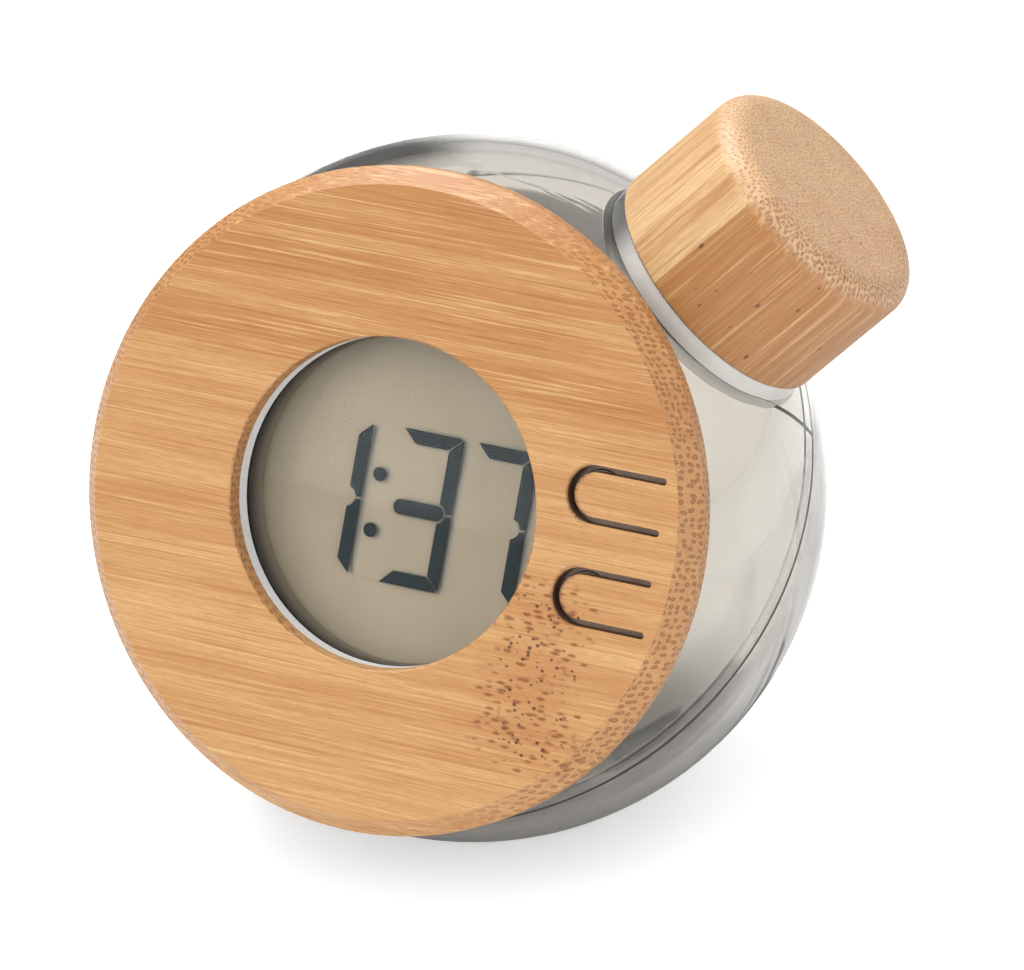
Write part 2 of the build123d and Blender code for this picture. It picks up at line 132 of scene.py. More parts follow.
class Graph:
    """Nodes of one material, with a Principled shader on its output."""

    def __init__(self, name):
        self.material = bpy.data.materials.new(name)
        self.material.use_nodes = True
        self.tree = self.material.node_tree
        self.tree.nodes.clear()
        output = self.add("OutputMaterial")
        self.shader = self.add("BsdfPrincipled")
        self.tree.links.new(self.shader.outputs[0], output.inputs["Surface"])

    def add(self, kind, **settings):
        node = self.tree.nodes.new("ShaderNode" + kind)
        for key, value in settings.items():
            setattr(node, key, value)
        return node

    def put(self, socket, value):
        """Links or sets a socket. A colour of three parts gets its alpha here."""
        if isinstance(value, bpy.types.NodeSocket):
            self.tree.links.new(value, socket)
        elif isinstance(value, tuple) and len(value) == 3:
            socket.default_value = (*value, 1.0)
        else:
            socket.default_value = value

    def set(self, **values):
        for key, value in values.items():
            self.put(self.shader.inputs[key.replace("_", " ")], value)

    def place(self):
        return self.add("TexCoord").outputs["Object"]

    def local(self, origin, right, up, out):
        """Object coordinates turned into a local frame, in millimetres."""
        turn = Matrix((right, up, out))
        node = self.add("Mapping", vector_type="POINT")
        self.put(node.inputs["Vector"], self.place())
        node.inputs["Scale"].default_value = (MM, MM, MM)
        node.inputs["Rotation"].default_value = turn.to_euler("XYZ")
        node.inputs["Location"].default_value = -(turn @ origin)
        return node.outputs["Vector"]

    def on_face(self):
        return self.local(FACE_MIDDLE, FACE_RIGHT, FACE_UP, FACE_OUT)

    def split(self, vector):
        node = self.add("SeparateXYZ")
        self.put(node.inputs[0], vector)
        return node.outputs[0], node.outputs[1], node.outputs[2]

    def join(self, x, y, z):
        node = self.add("CombineXYZ")
        for socket, value in zip(node.inputs, (x, y, z)):
            self.put(socket, value)
        return node.outputs[0]

    def stretch(self, vector, x, y, z):
        node = self.add("VectorMath", operation="MULTIPLY")
        self.put(node.inputs[0], vector)
        node.inputs[1].default_value = (x, y, z)
        return node.outputs[0]

    def calc(self, operation, *values):
        node = self.add("Math", operation=operation)
        for socket, value in zip(node.inputs, values):
            self.put(socket, value)
        return node.outputs[0]

    def times(self, first, *others):
        for other in others:
            first = self.calc("MULTIPLY", first, other)
        return first

    def rest(self, value):
        """One less a value."""
        return self.calc("SUBTRACT", 1.0, value)

    def apart(self, first, second):
        """How far two values are from each other."""
        return self.calc("ABSOLUTE", self.calc("SUBTRACT", first, second))

    def radius(self, first, second):
        squares = self.calc("ADD", self.times(first, first), self.times(second, second))
        return self.calc("SQRT", squares)

    def shifted(self, value, noise, amount):
        """A value moved to either side by noise."""
        shift = self.times(self.calc("SUBTRACT", noise, 0.5), amount)
        return self.calc("ADD", value, shift)

    def blend(self, first, second, share):
        """Two noises added, the first with the given share."""
        return self.calc("ADD", self.times(first, share), self.times(second, 1 - share))

    def fade(self, value, start, end, low=0.0, high=1.0):
        """Goes smoothly from low to high as value goes from start to end."""
        node = self.add("MapRange", interpolation_type="SMOOTHSTEP")
        for socket, part in zip(node.inputs, (value, start, end, low, high)):
            self.put(socket, part)
        return node.outputs[0]

    def noise(self, vector, scale=1.0, detail=2.0, roughness=0.5):
        node = self.add("TexNoise", noise_dimensions="3D")
        self.put(node.inputs["Vector"], vector)
        node.inputs["Scale"].default_value = scale
        node.inputs["Detail"].default_value = detail
        node.inputs["Roughness"].default_value = roughness
        return node.outputs[0]

    def cells(self, vector, scale, random, dimensions="3D"):
        """Distance to the middle of the nearest cell, and the cell's own random colour."""
        node = self.add("TexVoronoi", voronoi_dimensions=dimensions, feature="F1")
        self.put(node.inputs["Vector"], vector)
        node.inputs["Scale"].default_value = scale
        node.inputs["Randomness"].default_value = random
        return node.outputs["Distance"], node.outputs["Color"]

    def mix(self, factor, first, second):
        node = self.add("MixRGB", blend_type="MIX")
        for socket, value in zip(node.inputs, (factor, first, second)):
            self.put(socket, value)
        return node.outputs[0]

    def tone(self, noise, darker, lighter, start=0.3, end=0.7):
        """Colour that goes from darker to lighter with noise."""
        node = self.add("ValToRGB")
        stops = ((start, darker), (end, lighter))
        for element, (position, colour) in zip(node.color_ramp.elements, stops):
            element.position = position
            element.color = (*colour, 1.0)
        self.put(node.inputs[0], noise)
        return node.outputs[0]

    def bump(self, height, strength, distance):
        node = self.add("Bump")
        node.inputs["Strength"].default_value = strength
        node.inputs["Distance"].default_value = distance
        self.put(node.inputs["Height"], height)
        self.put(self.shader.inputs["Normal"], node.outputs[0])


def bundles(g, place, strip, wood):
    """Bundles of fibres where they are cut across: coarse rings, their cores, and fine dots."""
    _, y, z = g.split(place)
    sway = g.noise(g.stretch(place, 0.045, 0.22, 0.22))
    lift = g.noise(g.stretch(place, 0.06, 0.35, 0.35))
    row = g.shifted(y, sway, 1.3)
    layer = g.shifted(z, lift, 2.0)
    section = g.join(row, layer, 0.0)
    packed = section
    if wood is FACE_WOOD:
        closer = g.fade(strip, 0.0, 1.0, 1.0, 1.3)
        packed = g.join(g.times(row, closer), g.times(layer, closer), 0.0)
    coarse, _ = g.cells(packed, 1 / wood["bundle"], 0.48, "2D")
    tight, _ = g.cells(section, 1 / wood["dot"], 0.60, "2D")
    ring = g.rest(g.fade(g.apart(coarse, 0.20), 0.02, 0.17))
    core = g.rest(g.fade(coarse, 0.05, 0.20))
    dots = g.rest(g.fade(tight, 0.14, 0.36))
    if wood is FACE_WOOD:
        dense = g.fade(g.noise(g.stretch(place, 0.02, 0.09, 0.2)), 0.42, 0.6)
        dots = g.times(dots, dense)
    else:
        # On the stopper only the darker strip has coarse rings, near its rim
        rim = g.times(strip, g.fade(g.radius(y, z), *STOPPER_RIM, 0.0, 0.75))
        ring = g.times(ring, rim)
        core = g.times(core, rim)
    return ring, core, dots


def streaks(g, place, strip, body):
    """Bamboo along the grain: its colour, and the noises of its pale and its finest streaks."""
    x, y, z = g.split(place)
    bend = g.noise(g.stretch(place, 0.016, 0.10, 0.10), detail=1.0)
    grain = g.join(x, g.shifted(y, bend, 1.1), z)
    pale = g.noise(g.stretch(grain, 0.030, 2.3, 1.2), roughness=0.6)
    brown = g.noise(g.stretch(grain, 0.022, 2.5, 1.2), roughness=0.6)
    hair = g.noise(g.stretch(grain, 0.075, 6.5, 3.5), roughness=0.6)
    slow = g.noise(g.stretch(grain, 0.010, 0.28, 0.2))
    mottle = g.noise(g.stretch(grain, 0.42, 3.6, 3.6), detail=3.0, roughness=0.6)
    calm = g.fade(strip, 0.0, 1.0, 0.72, 1.0)
    colour = g.mix(g.fade(slow, 0.34, 0.62, 0.45, 0.0), body, CLOUD_DARK)
    colour = g.mix(g.fade(slow, 0.48, 0.70, 0.0, 0.36), colour, CLOUD_PALE)
    thin = (
        (g.fade(brown, 0.53, 0.64, 0.0, 0.70), STREAK_DARK),
        (g.fade(pale, 0.55, 0.68, 0.0, 0.60), STREAK_PALE),
        (g.fade(hair, 0.36, 0.48, 0.40, 0.0), HAIR_DARK),
        (g.fade(hair, 0.56, 0.70, 0.0, 0.34), HAIR_PALE),
    )
    for weight, tint in thin:
        colour = g.mix(g.times(weight, calm), colour, tint)
    colour = g.mix(g.fade(mottle, 0.40, 0.54, 0.22, 0.0), colour, MOTTLE_DARK)
    return colour, pale, hair


def cane_node(g, place, colour):
    """A node of the cane on the face: dark dots and reddish dashes in an upright band."""
    x, y, _ = g.split(place)
    drift = g.noise(g.stretch(place, 0.1, 0.22, 0.1))
    middle_line = g.shifted(CANE_NODE_X, drift, 9.0)
    band = g.rest(g.fade(g.apart(x, middle_line), 1.0, 9.0))
    height = g.times(g.fade(y, *CANE_NODE_BOTTOM), g.fade(y, *CANE_NODE_TOP))
    patch = g.times(band, height)
    wear = g.calc("ADD", g.noise(place, 0.5), g.times(patch, 0.42))
    spot, tint = g.cells(g.stretch(place, 1.0, 1.2, 1.2), 1.0, 0.95)
    dash, _ = g.cells(g.stretch(place, 0.50, 1.30, 1.1), 1.0, 0.95)
    spot = g.calc("ADD", spot, g.times(g.split(tint)[0], 0.20))
    mark = g.times(g.rest(g.fade(spot, 0.22, 0.44)), g.fade(wear, 0.68, 0.84))
    line = g.times(g.rest(g.fade(dash, 0.16, 0.46)), g.fade(wear, 0.44, 0.64))
    mark = g.times(mark, g.fade(patch, 0.02, 0.30))
    line = g.times(line, g.fade(patch, 0.0, 0.22))
    colour = g.mix(g.times(patch, 0.36), colour, NODE_TONE)
    colour = g.mix(g.times(line, 0.92), colour, NODE_DASH)
    return g.mix(g.times(mark, 0.92), colour, NODE_SPOT)


def slot_edges(g, place, colour):
    """Scorched round ends and charred walls of the slots."""
    x, y, z = g.split(place)
    aside = g.calc("SUBTRACT", x, TONGUE_END)
    beside = g.calc("SUBTRACT", g.calc("ABSOLUTE", y), TONGUE_HEIGHT)
    near = g.apart(g.radius(aside, beside), SLOT_RADIUS)
    fuzzy = g.shifted(near, g.noise(place, 2.6), 0.7)
    burnt = g.times(g.fade(fuzzy, 1.05, 0.35), g.fade(aside, 0.6, -2.6))
    colour = g.mix(g.times(burnt, 0.82), colour, SCORCH)
    bow = g.times(g.fade(near, *SLOT_WALL), g.fade(aside, 0.1, 0.0))
    straight = g.apart(g.calc("ABSOLUTE", beside), SLOT_RADIUS)
    legs = g.times(g.fade(aside, -0.1, 0.0), g.fade(aside, *SLOT_LEG_END))
    legs = g.times(g.fade(straight, *SLOT_WALL), legs)
    wall = g.times(g.calc("MAXIMUM", bow, legs), g.fade(z, -0.05, -0.5))
    return g.mix(g.times(wall, 0.72), colour, CHAR)


def specks(g, place, strip, colour):
    """Dark specks on the stopper's darker strip."""
    speck, tint = g.cells(g.stretch(place, 0.30, 0.50, 0.50), 1.0, 1.0)
    speck = g.calc("ADD", speck, g.times(g.split(tint)[0], 0.10))
    mark = g.times(g.rest(g.fade(speck, 0.08, 0.20)), strip)
    return g.mix(g.times(mark, 0.85), colour, SPECK)


def bamboo(name, origin, fibre, up, out, wood):
    """Laminated bamboo: strips, thin streaks, and bundles that show as dots where cut across."""
    g = Graph(name)
    place = g.local(origin, fibre, up, out)
    _, y, z = g.split(place)
    across = g.add("VectorMath", operation="DOT_PRODUCT")
    g.put(across.inputs[0], g.add("TexCoord").outputs["Normal"])
    across.inputs[1].default_value = fibre
    cut = g.fade(g.calc("ABSOLUTE", across.outputs["Value"]), 0.10, 0.70)

    # Strips: a darker one above the joint on the face, a paler one on one side of the stopper
    if wood is FACE_WOOD:
        wander = g.noise(g.stretch(place, 0.03, 0.05, 0.05), detail=1.0)
        strip = g.fade(g.shifted(y, wander, 1.2), *FACE_STRIP)
        darker = strip
    else:
        strip = g.fade(z, *STOPPER_STRIP)
        darker = g.times(strip, g.fade(cut, 0.5, 1.0, 1.0, 0.15))
    body = g.mix(darker, wood["pale_strip"], wood["dark_strip"])
    colour, pale, hair = streaks(g, place, strip, body)

    # Cut ends
    ring, core, dots = bundles(g, place, strip, wood)
    strength = g.fade(cut, 0.0, 1.0, 0.10, 0.80)
    shown = g.fade(cut, 0.1, 0.9, 0.0, wood["dot_weight"])
    colour = g.mix(g.times(cut, 0.5), colour, wood["end_colour"])
    colour = g.mix(g.times(dots, shown), colour, wood["dot_colour"])
    colour = g.mix(g.times(ring, strength), colour, wood["ring_colour"])
    colour = g.mix(g.times(core, g.times(strength, 0.75)), colour, BUNDLE_CORE)

    if wood is FACE_WOOD:
        colour = slot_edges(g, place, cane_node(g, place, colour))
    else:
        colour = specks(g, place, strip, colour)
    g.set(Base_Color=colour, Roughness=g.fade(hair, 0.3, 0.7, 0.52, 0.38))
    g.set(Specular_IOR_Level=0.58)
    raised = g.calc("ADD", hair, g.times(pale, 0.5))
    g.bump(g.calc("SUBTRACT", raised, g.times(ring, 0.4)), 0.25, 0.00012)
    return g.material


def clear(name, tint, roughness, ior):
    """Clear plastic or glass."""
    g = Graph(name)
    darker = tuple(part * 0.97 for part in tint)
    fine = g.noise(g.place(), 420.0, 3.0)
    g.set(Base_Color=g.tone(g.noise(g.place(), 30.0), darker, tint))
    g.set(Transmission_Weight=1.0, IOR=ior)
    g.set(Roughness=g.fade(fine, 0.3, 0.8, roughness * 0.5, roughness))
    g.bump(g.noise(g.place(), 45.0), 0.04, 0.0004)
    return g.material


def neck_plastic(name):
    """Cloudy plastic of the neck, with a painted dark reflection on its upper left, and clear where it
    goes under the tank.
    """
    g = Graph(name)
    place = g.local(TANK_MIDDLE, NECK_AXIS, NECK_SIDE, NECK_ACROSS)
    _, y, z = g.split(place)
    under = g.fade(g.radius(y, z), NECK_RADIUS + 0.05, NECK_RADIUS + 0.2)
    uneven = g.noise(place, 0.4)
    light = g.tone(uneven, (0.93, 0.905, 0.86), (0.97, 0.945, 0.90))
    # Painted dark reflection of the surroundings on the neck's upper left
    colour = g.mix(g.fade(z, *NECK_DARK_REFLECTION, 0.0, 0.88), light, grey(0.09))
    g.set(Base_Color=g.mix(under, colour, TANK_TINT))
    g.set(Transmission_Weight=g.fade(under, 0.0, 1.0, 0.25, 1.0), IOR=TANK_IOR)
    g.set(Roughness=g.fade(uneven, 0.3, 0.7, 0.04, 0.07))
    return g.material


def welded(name, start, end):
    """Solvent-welded joint: clear but for its outer edge, which shows as a dark line."""
    g = Graph(name)
    away = g.add("VectorMath", operation="DISTANCE")
    g.put(away.inputs[0], g.place())
    away.inputs[1].default_value = TANK_MIDDLE / MM
    uneven = g.noise(g.place(), 260.0)
    depth = g.calc("ADD", g.times(away.outputs["Value"], MM), g.times(uneven, 0.06))
    g.set(Base_Color=g.tone(uneven, (0.012, 0.012, 0.011), (0.03, 0.03, 0.028)))
    g.set(Roughness=0.5, Specular_IOR_Level=0.1, Alpha=g.fade(depth, start, end))
    return g.material


def moulded(name, colour, darker, roughness, grain=FINE_GRAIN):
    """Moulded plastic or rubber with a fine grain."""
    g = Graph(name)
    fine = g.noise(g.place(), grain, 3.0)
    blotch = g.noise(g.place(), 70.0)
    g.set(Base_Color=g.tone(g.blend(fine, blotch, 0.6), darker, colour))
    g.set(Roughness=g.fade(fine, 0.25, 0.75, roughness - 0.06, roughness + 0.06))
    g.bump(fine, 0.08, 0.00008)
    return g.material


def ring_plastic(name):
    """White plastic of the ring round the window, with painted shade that makes it darker and browner
    behind the slots.
    """
    g = Graph(name)
    x, y, _ = g.split(g.on_face())
    fine = g.noise(g.place(), FINE_GRAIN, 3.0)
    white = g.tone(fine, (0.78, 0.79, 0.80), (0.86, 0.87, 0.88))
    # Painted shade, darker and browner, where the ring lies deep behind the slots
    brown = g.tone(g.noise(g.place(), 400.0), (0.48, 0.36, 0.29), (0.62, 0.47, 0.385))
    behind = g.times(g.fade(x, *SLOT_SHADE_X), g.fade(g.calc("ABSOLUTE", y), *SLOT_SHADE_Y))
    g.set(Base_Color=g.mix(behind, white, brown))
    g.set(Roughness=g.fade(fine, 0.25, 0.75, 0.32, 0.44))
    g.bump(fine, 0.08, 0.00008)
    return g.material


def brushed(name, colour, darker, roughness=0.35):
    """Bare or plated metal with fine drawn lines."""
    g = Graph(name)
    lines = g.noise(g.stretch(g.place(), 300.0, 6000.0, 6000.0))
    stain = g.noise(g.place(), 130.0, 3.0)
    g.set(Base_Color=g.tone(g.blend(lines, stain, 0.5), darker, colour), Metallic=1.0)
    g.set(Roughness=g.fade(lines, 0.25, 0.75, roughness - 0.1, roughness + 0.1))
    g.bump(lines, 0.06, 0.00004)
    return g.material


def striped(name):
    """Layered contact rubber: thin dark and pale layers side by side."""
    g = Graph(name)
    x = g.split(g.on_face())[0]
    layer = g.calc("FRACT", g.times(x, LAYERS_PER_MM))
    g.set(Base_Color=g.tone(layer, grey(0.03), (0.62, 0.62, 0.60), 0.45, 0.55))
    g.set(Roughness=0.6)
    return g.material


def board(name):
    """Circuit board: green mask over copper tracks."""
    g = Graph(name)
    place = g.on_face()
    node = g.add("TexBrick", offset=0.5)
    g.put(node.inputs["Vector"], place)
    node.inputs["Scale"].default_value = 0.35
    node.inputs["Mortar Size"].default_value = 0.04
    g.put(node.inputs["Color1"], (0.02, 0.13, 0.05))
    g.put(node.inputs["Color2"], (0.025, 0.15, 0.06))
    g.put(node.inputs["Mortar"], (0.06, 0.25, 0.10))
    mask = g.tone(g.noise(place, 1.5), (0.01, 0.09, 0.03), (0.05, 0.22, 0.09))
    g.set(Base_Color=g.mix(0.3, node.outputs[0], mask))
    g.set(Roughness=g.fade(g.noise(place, 3.0), 0.3, 0.7, 0.3, 0.42))
    return g.material


def display_back(name):
    """Grey-green reflector behind the display, darker where segments throw their shadow on it."""
    g = Graph(name)
    place = g.on_face()
    fine = g.noise(place, 14.0)
    soft = g.noise(place, 0.09, 1.0)
    foil = g.tone(g.blend(fine, soft, 0.3), (0.345, 0.283, 0.204), (0.378, 0.311, 0.227))
    shade = g.add("Attribute", attribute_name="shade")
    g.set(Base_Color=g.mix(g.times(shade.outputs["Fac"], 0.55), foil, (0.13, 0.15, 0.165)))
    g.set(Roughness=g.fade(fine, 0.3, 0.7, 0.5, 0.62), Specular_IOR_Level=0.3)
    return g.material


def segment_ink(name):
    """Dark slate of a lit display segment."""
    g = Graph(name)
    fine = g.noise(g.on_face(), 6.0)
    g.set(Base_Color=g.tone(fine, (0.018, 0.025, 0.029), (0.026, 0.034, 0.038)))
    g.set(Roughness=g.fade(fine, 0.3, 0.7, 0.45, 0.55), Specular_IOR_Level=0.05)
    return g.material


def well(name):
    """Black wall round the display, with a painted reflection of the display that makes it browner
    towards the glass.
    """
    g = Graph(name)
    place = g.on_face()
    z = g.split(place)[2]
    fine = g.noise(place, 2.0, 3.0)
    # Painted reflection of the display, browner towards the glass
    lower = g.tone(fine, (0.155, 0.130, 0.098), (0.185, 0.157, 0.120))
    upper = g.tone(fine, (0.014, 0.013, 0.012), (0.024, 0.022, 0.020))
    g.set(Base_Color=g.mix(g.fade(z, *WELL_REFLECTION_DEPTHS), upper, lower))
    g.set(Roughness=g.fade(fine, 0.3, 0.7, 0.4, 0.5), Specular_IOR_Level=0.3)
    return g.material


# Materials of the solids
face_bamboo = bamboo("bamboo_face", FACE_MIDDLE, FACE_RIGHT, FACE_UP, FACE_OUT, FACE_WOOD)
stopper_bamboo = bamboo(
    "bamboo_stopper", TANK_MIDDLE, NECK_AXIS, NECK_SIDE, NECK_ACROSS, STOPPER_WOOD
)
rubber = moulded("gasket_rubber", grey(0.03), grey(0.015), 0.7)
steel = brushed("screw_steel", (0.66, 0.66, 0.65), grey(0.45))
copper = brushed("copper", (0.72, 0.38, 0.22), (0.50, 0.22, 0.11), 0.4)
pusher_plastic = moulded("pusher_plastic", (0.40, 0.33, 0.28), (0.33, 0.27, 0.225), 0.55)
tank_plastic = clear("tank_clear", TANK_TINT, 0.03, TANK_IOR)
finishes = {
    "front_plate": face_bamboo,
    "button_upper": face_bamboo,
    "button_lower": face_bamboo,
    "front_frame": ring_plastic("frame_plastic"),
    "shell_gasket": rubber,
    "case_seal": rubber,
    "stud_seals": rubber,
    "module_case": moulded("case_plastic", (0.050, 0.050, 0.048), (0.034, 0.034, 0.033), 0.4, 500.0),
    "case_screws": steel,
    "terminal_studs": steel,
    "terminal_nuts": steel,
    "stopper_screw": steel,
    "pusher_upper": pusher_plastic,
    "pusher_lower": pusher_plastic,
    "switch_bodies": moulded("switch_plastic", grey(0.05), grey(0.03), 0.5),
    "window_lens": clear("lens_clear", (0.97, 0.985, 0.98), 0.0, DISPLAY_IOR),
    "lcd_holder": well("holder_black"),
    "lcd_cell": clear("lcd_glass", (0.95, 0.955, 0.94), 0.0, DISPLAY_IOR),
    "lcd_reflector": display_back("lcd_foil"),
    "zebra_strips": striped("zebra_rubber"),
    "circuit_board": board("board_green"),
    "clock_chip": moulded("chip_resin", grey(0.03), grey(0.015), 0.35),
    "crystal": brushed("crystal_can", (0.75, 0.75, 0.76), grey(0.6), 0.25),
    "capacitor": moulded("capacitor_sleeve", (0.02, 0.03, 0.09), (0.015, 0.02, 0.06), 0.3),
    "zinc_electrode": brushed("zinc", (0.55, 0.57, 0.59), (0.38, 0.40, 0.42), 0.45),
    "copper_electrode": copper,
    "lead_wires": copper,
    "front_shell": tank_plastic,
    "rear_shell": tank_plastic,
    "neck_collar": neck_plastic("collar_clear"),
    "stopper_knob": stopper_bamboo,
    "stopper_plug": moulded("plug_plastic", (0.74, 0.74, 0.71), (0.66, 0.66, 0.63), 0.45),
    "stopper_seal": moulded("seal_silicone", (0.66, 0.66, 0.64), (0.58, 0.58, 0.56), 0.6),
}
for node, material in finishes.items():
    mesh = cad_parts[node].data
    mesh.materials.clear()
    mesh.materials.append(material)
for node in ("window_lens", "lcd_cell"):
    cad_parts[node].visible_shadow = False


# Glued joints of the tank
JOINT_TOLERANCE = 0.03
NECK_JOINT_RADIUS = 18.4
NECK_JOINT_START = 30
SEAM_SLOT, NECK_SEAM_SLOT = 1, 2
# Distances from the tank's middle between which the dark lines fade in
SEAM_EDGE = (47.95, 48.2)
NECK_SEAM_EDGE = (48.74, 48.82)


def around_neck(corners):
    """Corners from the tank's middle, how far along the neck they are, and how far from its axis."""
    off = [corner * MM - TANK_MIDDLE for corner in corners]
    along = [p.dot(NECK_AXIS) for p in off]
    aside = [(p - NECK_AXIS * q).length for p, q in zip(off, along)]
    return off, along, aside


def is_joint(corners):
    """Whether a face of the tank is a glued joint, and neither an outside nor an inside."""
    off, along, aside = around_neck(corners)
    surfaces = (
        [p.length - TANK_OUTSIDE for p in off],
        [p.length - TANK_INSIDE for p in off],
        [p.z + TANK_MIDDLE.z for p in off],
        [p.z + TANK_MIDDLE.z - TANK_BOTTOM for p in off],
        [q - NECK_BORE for q in aside],
        [q - NECK_END for q in along],
        [p.dot(FACE_OUT) - POCKET_OFFSET for p in off],
    )
    if any(max(abs(part) for part in surface) < JOINT_TOLERANCE for surface in surfaces):
        return False
    on_neck = max(abs(q - NECK_RADIUS) for q in aside) < JOINT_TOLERANCE
    return not (on_neck and min(p.length for p in off) > TANK_OUTSIDE - 0.1)


def by_neck(corners):
    """Whether a joint of the tank runs round the neck."""
    _, along, aside = around_neck(corners)
    return min(along) > NECK_JOINT_START and max(aside) < NECK_JOINT_RADIUS


seam = welded("seam_weld", *SEAM_EDGE)
neck_seam = welded("neck_weld", *NECK_SEAM_EDGE)
for node in ("front_shell", "rear_shell", "neck_collar"):
    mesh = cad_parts[node].data
    mesh.materials.append(seam)
    mesh.materials.append(neck_seam)
    for polygon in mesh.polygons:
        corners = [mesh.vertices[k].co for k in polygon.vertices]
        if is_joint(corners):
            polygon.material_index = NECK_SEAM_SLOT if by_neck(corners) else SEAM_SLOT


# Display segments, in millimetres on the face
DIGIT_WIDTH = 9.0
DIGIT_HALF = 10.66
DIGIT_DROP = 1.5
DIGIT_STARTS = (-27.6, -16.62, -3.2, 7.75)
DIGIT_REACH = 26.0
STROKE = 1.9
SLANT = 0.034
GAP = 0.2
MIDDLE_GAP = GAP * 0.7
CORNER = 0.3
TIP_X, TIP_Y = 0.05, 0.1
BAR_RADIUS = 1.06
BAR_START = 0.45
BAR_STEPS = 10
BITE_RADIUS = 1.38
BITE_X = DIGIT_WIDTH - STROKE - 0.3
BITE_STEPS = 8
COLON_DOTS = ((-5.38, 2.27), (-5.63, -5.45))
COLON_RADIUS = 0.98
SEGMENT_THICKNESS = 0.03
LIT = {1: "bc", 2: "abcdg", 3: "abc"}


def arc(x, radius, start, sweep, steps):
    """Points on an arc round a place at the digit's middle height."""
    turns = [start + sweep * step / steps for step in range(steps + 1)]
    return [(x + cos(turn) * radius, sin(turn) * radius) for turn in turns]


def segment(letter):
    """Outline of one segment of a digit, from the digit's left edge at its middle height."""
    w, h, t = DIGIT_WIDTH, DIGIT_HALF, STROKE
    outer = [(w - GAP - CORNER, h), (w - GAP, h - CORNER), (w - t - GAP, h - t), (t + GAP, h - t)]
    if letter == "a":
        return [(GAP, h), *outer]
    if letter == "d":
        return [(GAP, -h), *((px, -py) for px, py in reversed(outer))]
    if letter == "g":
        right = arc(BITE_X, BAR_RADIUS, -pi / 2, pi, BAR_STEPS)
        return right + arc(BAR_START + BAR_RADIUS, BAR_RADIUS, pi / 2, pi, BAR_STEPS)
    inner = w - t
    start = atan2((BITE_RADIUS**2 - (inner - BITE_X) ** 2) ** 0.5, inner - BITE_X)
    end = atan2(MIDDLE_GAP, (BITE_RADIUS**2 - MIDDLE_GAP**2) ** 0.5)
    tip = (w - TIP_X, h - GAP - TIP_Y)
    points = [(w, MIDDLE_GAP), (w, h - GAP - CORNER), tip, (inner, h - t - GAP)]
    points += arc(BITE_X, BITE_RADIUS, start, end - start, BITE_STEPS)
    if letter in "ce":
        points = [(px, -py) for px, py in points]
    if letter in "fe":
        points = [(w - px, py) for px, py in points]
    return points


def dot(x, y, radius, corners=28):
    """Outline of a round dot."""
    turns = [2 * pi * k / corners for k in range(corners)]
    return [Vector((x + cos(turn) * radius, y + sin(turn) * radius)) for turn in turns]


lit, unlit = [], []
for digit, start in enumerate(DIGIT_STARTS):
    for letter in "abcdefg":
        outline = [Vector((px + start + py * SLANT, py - DIGIT_DROP)) for px, py in segment(letter)]
        if max(p.length for p in outline) < DIGIT_REACH:
            (lit if letter in LIT.get(digit, "") else unlit).append(outline)
lit.extend(dot(px, py, COLON_RADIUS) for px, py in COLON_DOTS)


def finished(name, shape):
    """Turns a shape into a piece of the scene."""
    mesh = bpy.data.meshes.new(name)
    shape.to_mesh(mesh)
    shape.free()
    piece = bpy.data.objects.new(name, mesh)
    bpy.context.scene.collection.objects.link(piece)
    return piece


def plates(name, outlines, depth, thick):
    """Thin flat pieces on the display."""
    shape = bmesh.new()
    for outline in outlines:
        flat = [shape.verts.new(face_point(p.x, p.y, depth)) for p in outline]
        back = [shape.verts.new(face_point(p.x, p.y, depth + thick)) for p in outline]
        shape.faces.new(flat)
        shape.faces.new(back[::-1])
        for k in range(len(flat)):
            shape.faces.new((flat[k - 1], flat[k], back[k], back[k - 1]))
    bmesh.ops.recalc_face_normals(shape, faces=shape.faces)
    return finished(name, shape)


SHEET_X, SHEET_Y = 23.8, 22.9
SHADOW_X, SHADOW_Y = 0.5, -0.12  # how far the shadows lie from their segments


def grown(outline, amount):
    """Points of an outline moved outwards."""
    middle = sum(outline, Vector((0, 0))) / len(outline)
    moved = []
    for k, p in enumerate(outline):
        before, after = outline[k - 1], outline[(k + 1) % len(outline)]
        side = (after - p).normalized() + (p - before).normalized()
        push = Vector((side.y, -side.x)).normalized()
        if push.dot(p - middle) < 0:
            push = -push
        moved.append((p.x + push.x * amount, p.y + push.y * amount))
    return moved


def cast_shadows(name, dark, faint, depth):
    """Sheet on the reflector with a soft-edged shadow behind each segment."""
    shape = bmesh.new()
    shade = shape.verts.layers.float.new("shade")
    corners = ((-SHEET_X, -SHEET_Y), (SHEET_X, -SHEET_Y), (SHEET_X, SHEET_Y), (-SHEET_X, SHEET_Y))
    shape.faces.new([shape.verts.new(face_point(px, py, depth)) for px, py in corners])
    for outlines, strength, spread in ((dark, 1.0, 0.42), (faint, 0.05, 0.12)):
        lifted = depth - 0.004 - 0.01 * strength
        for outline in outlines:
            rings = []
            for amount, value in ((-spread * 0.6, strength), (spread, 0.0)):
                ring = []
                for px, py in grown(outline, amount):
                    vert = shape.verts.new(face_point(px + SHADOW_X, py + SHADOW_Y, lifted))
                    vert[shade] = value
                    ring.append(vert)
                rings.append(ring)
            inner, outer = rings
            shape.faces.new(inner)
            for k in range(len(outline)):
                shape.faces.new((inner[k - 1], inner[k], outer[k], outer[k - 1]))
    for face in shape.faces:
        face.normal_update()
        if face.normal.dot(FACE_OUT) < 0:
            face.normal_flip()
    return finished(name, shape)


digits = plates("display_segments", lit, DIGIT_DEPTH, SEGMENT_THICKNESS)
digits.data.materials.append(segment_ink("segment_ink"))
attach(digits, "clock_body")
shadows = cast_shadows("display_shadows", lit, unlit, FOIL_DEPTH)
shadows.data.materials.append(finishes["lcd_reflector"])
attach(shadows, "clock_body")


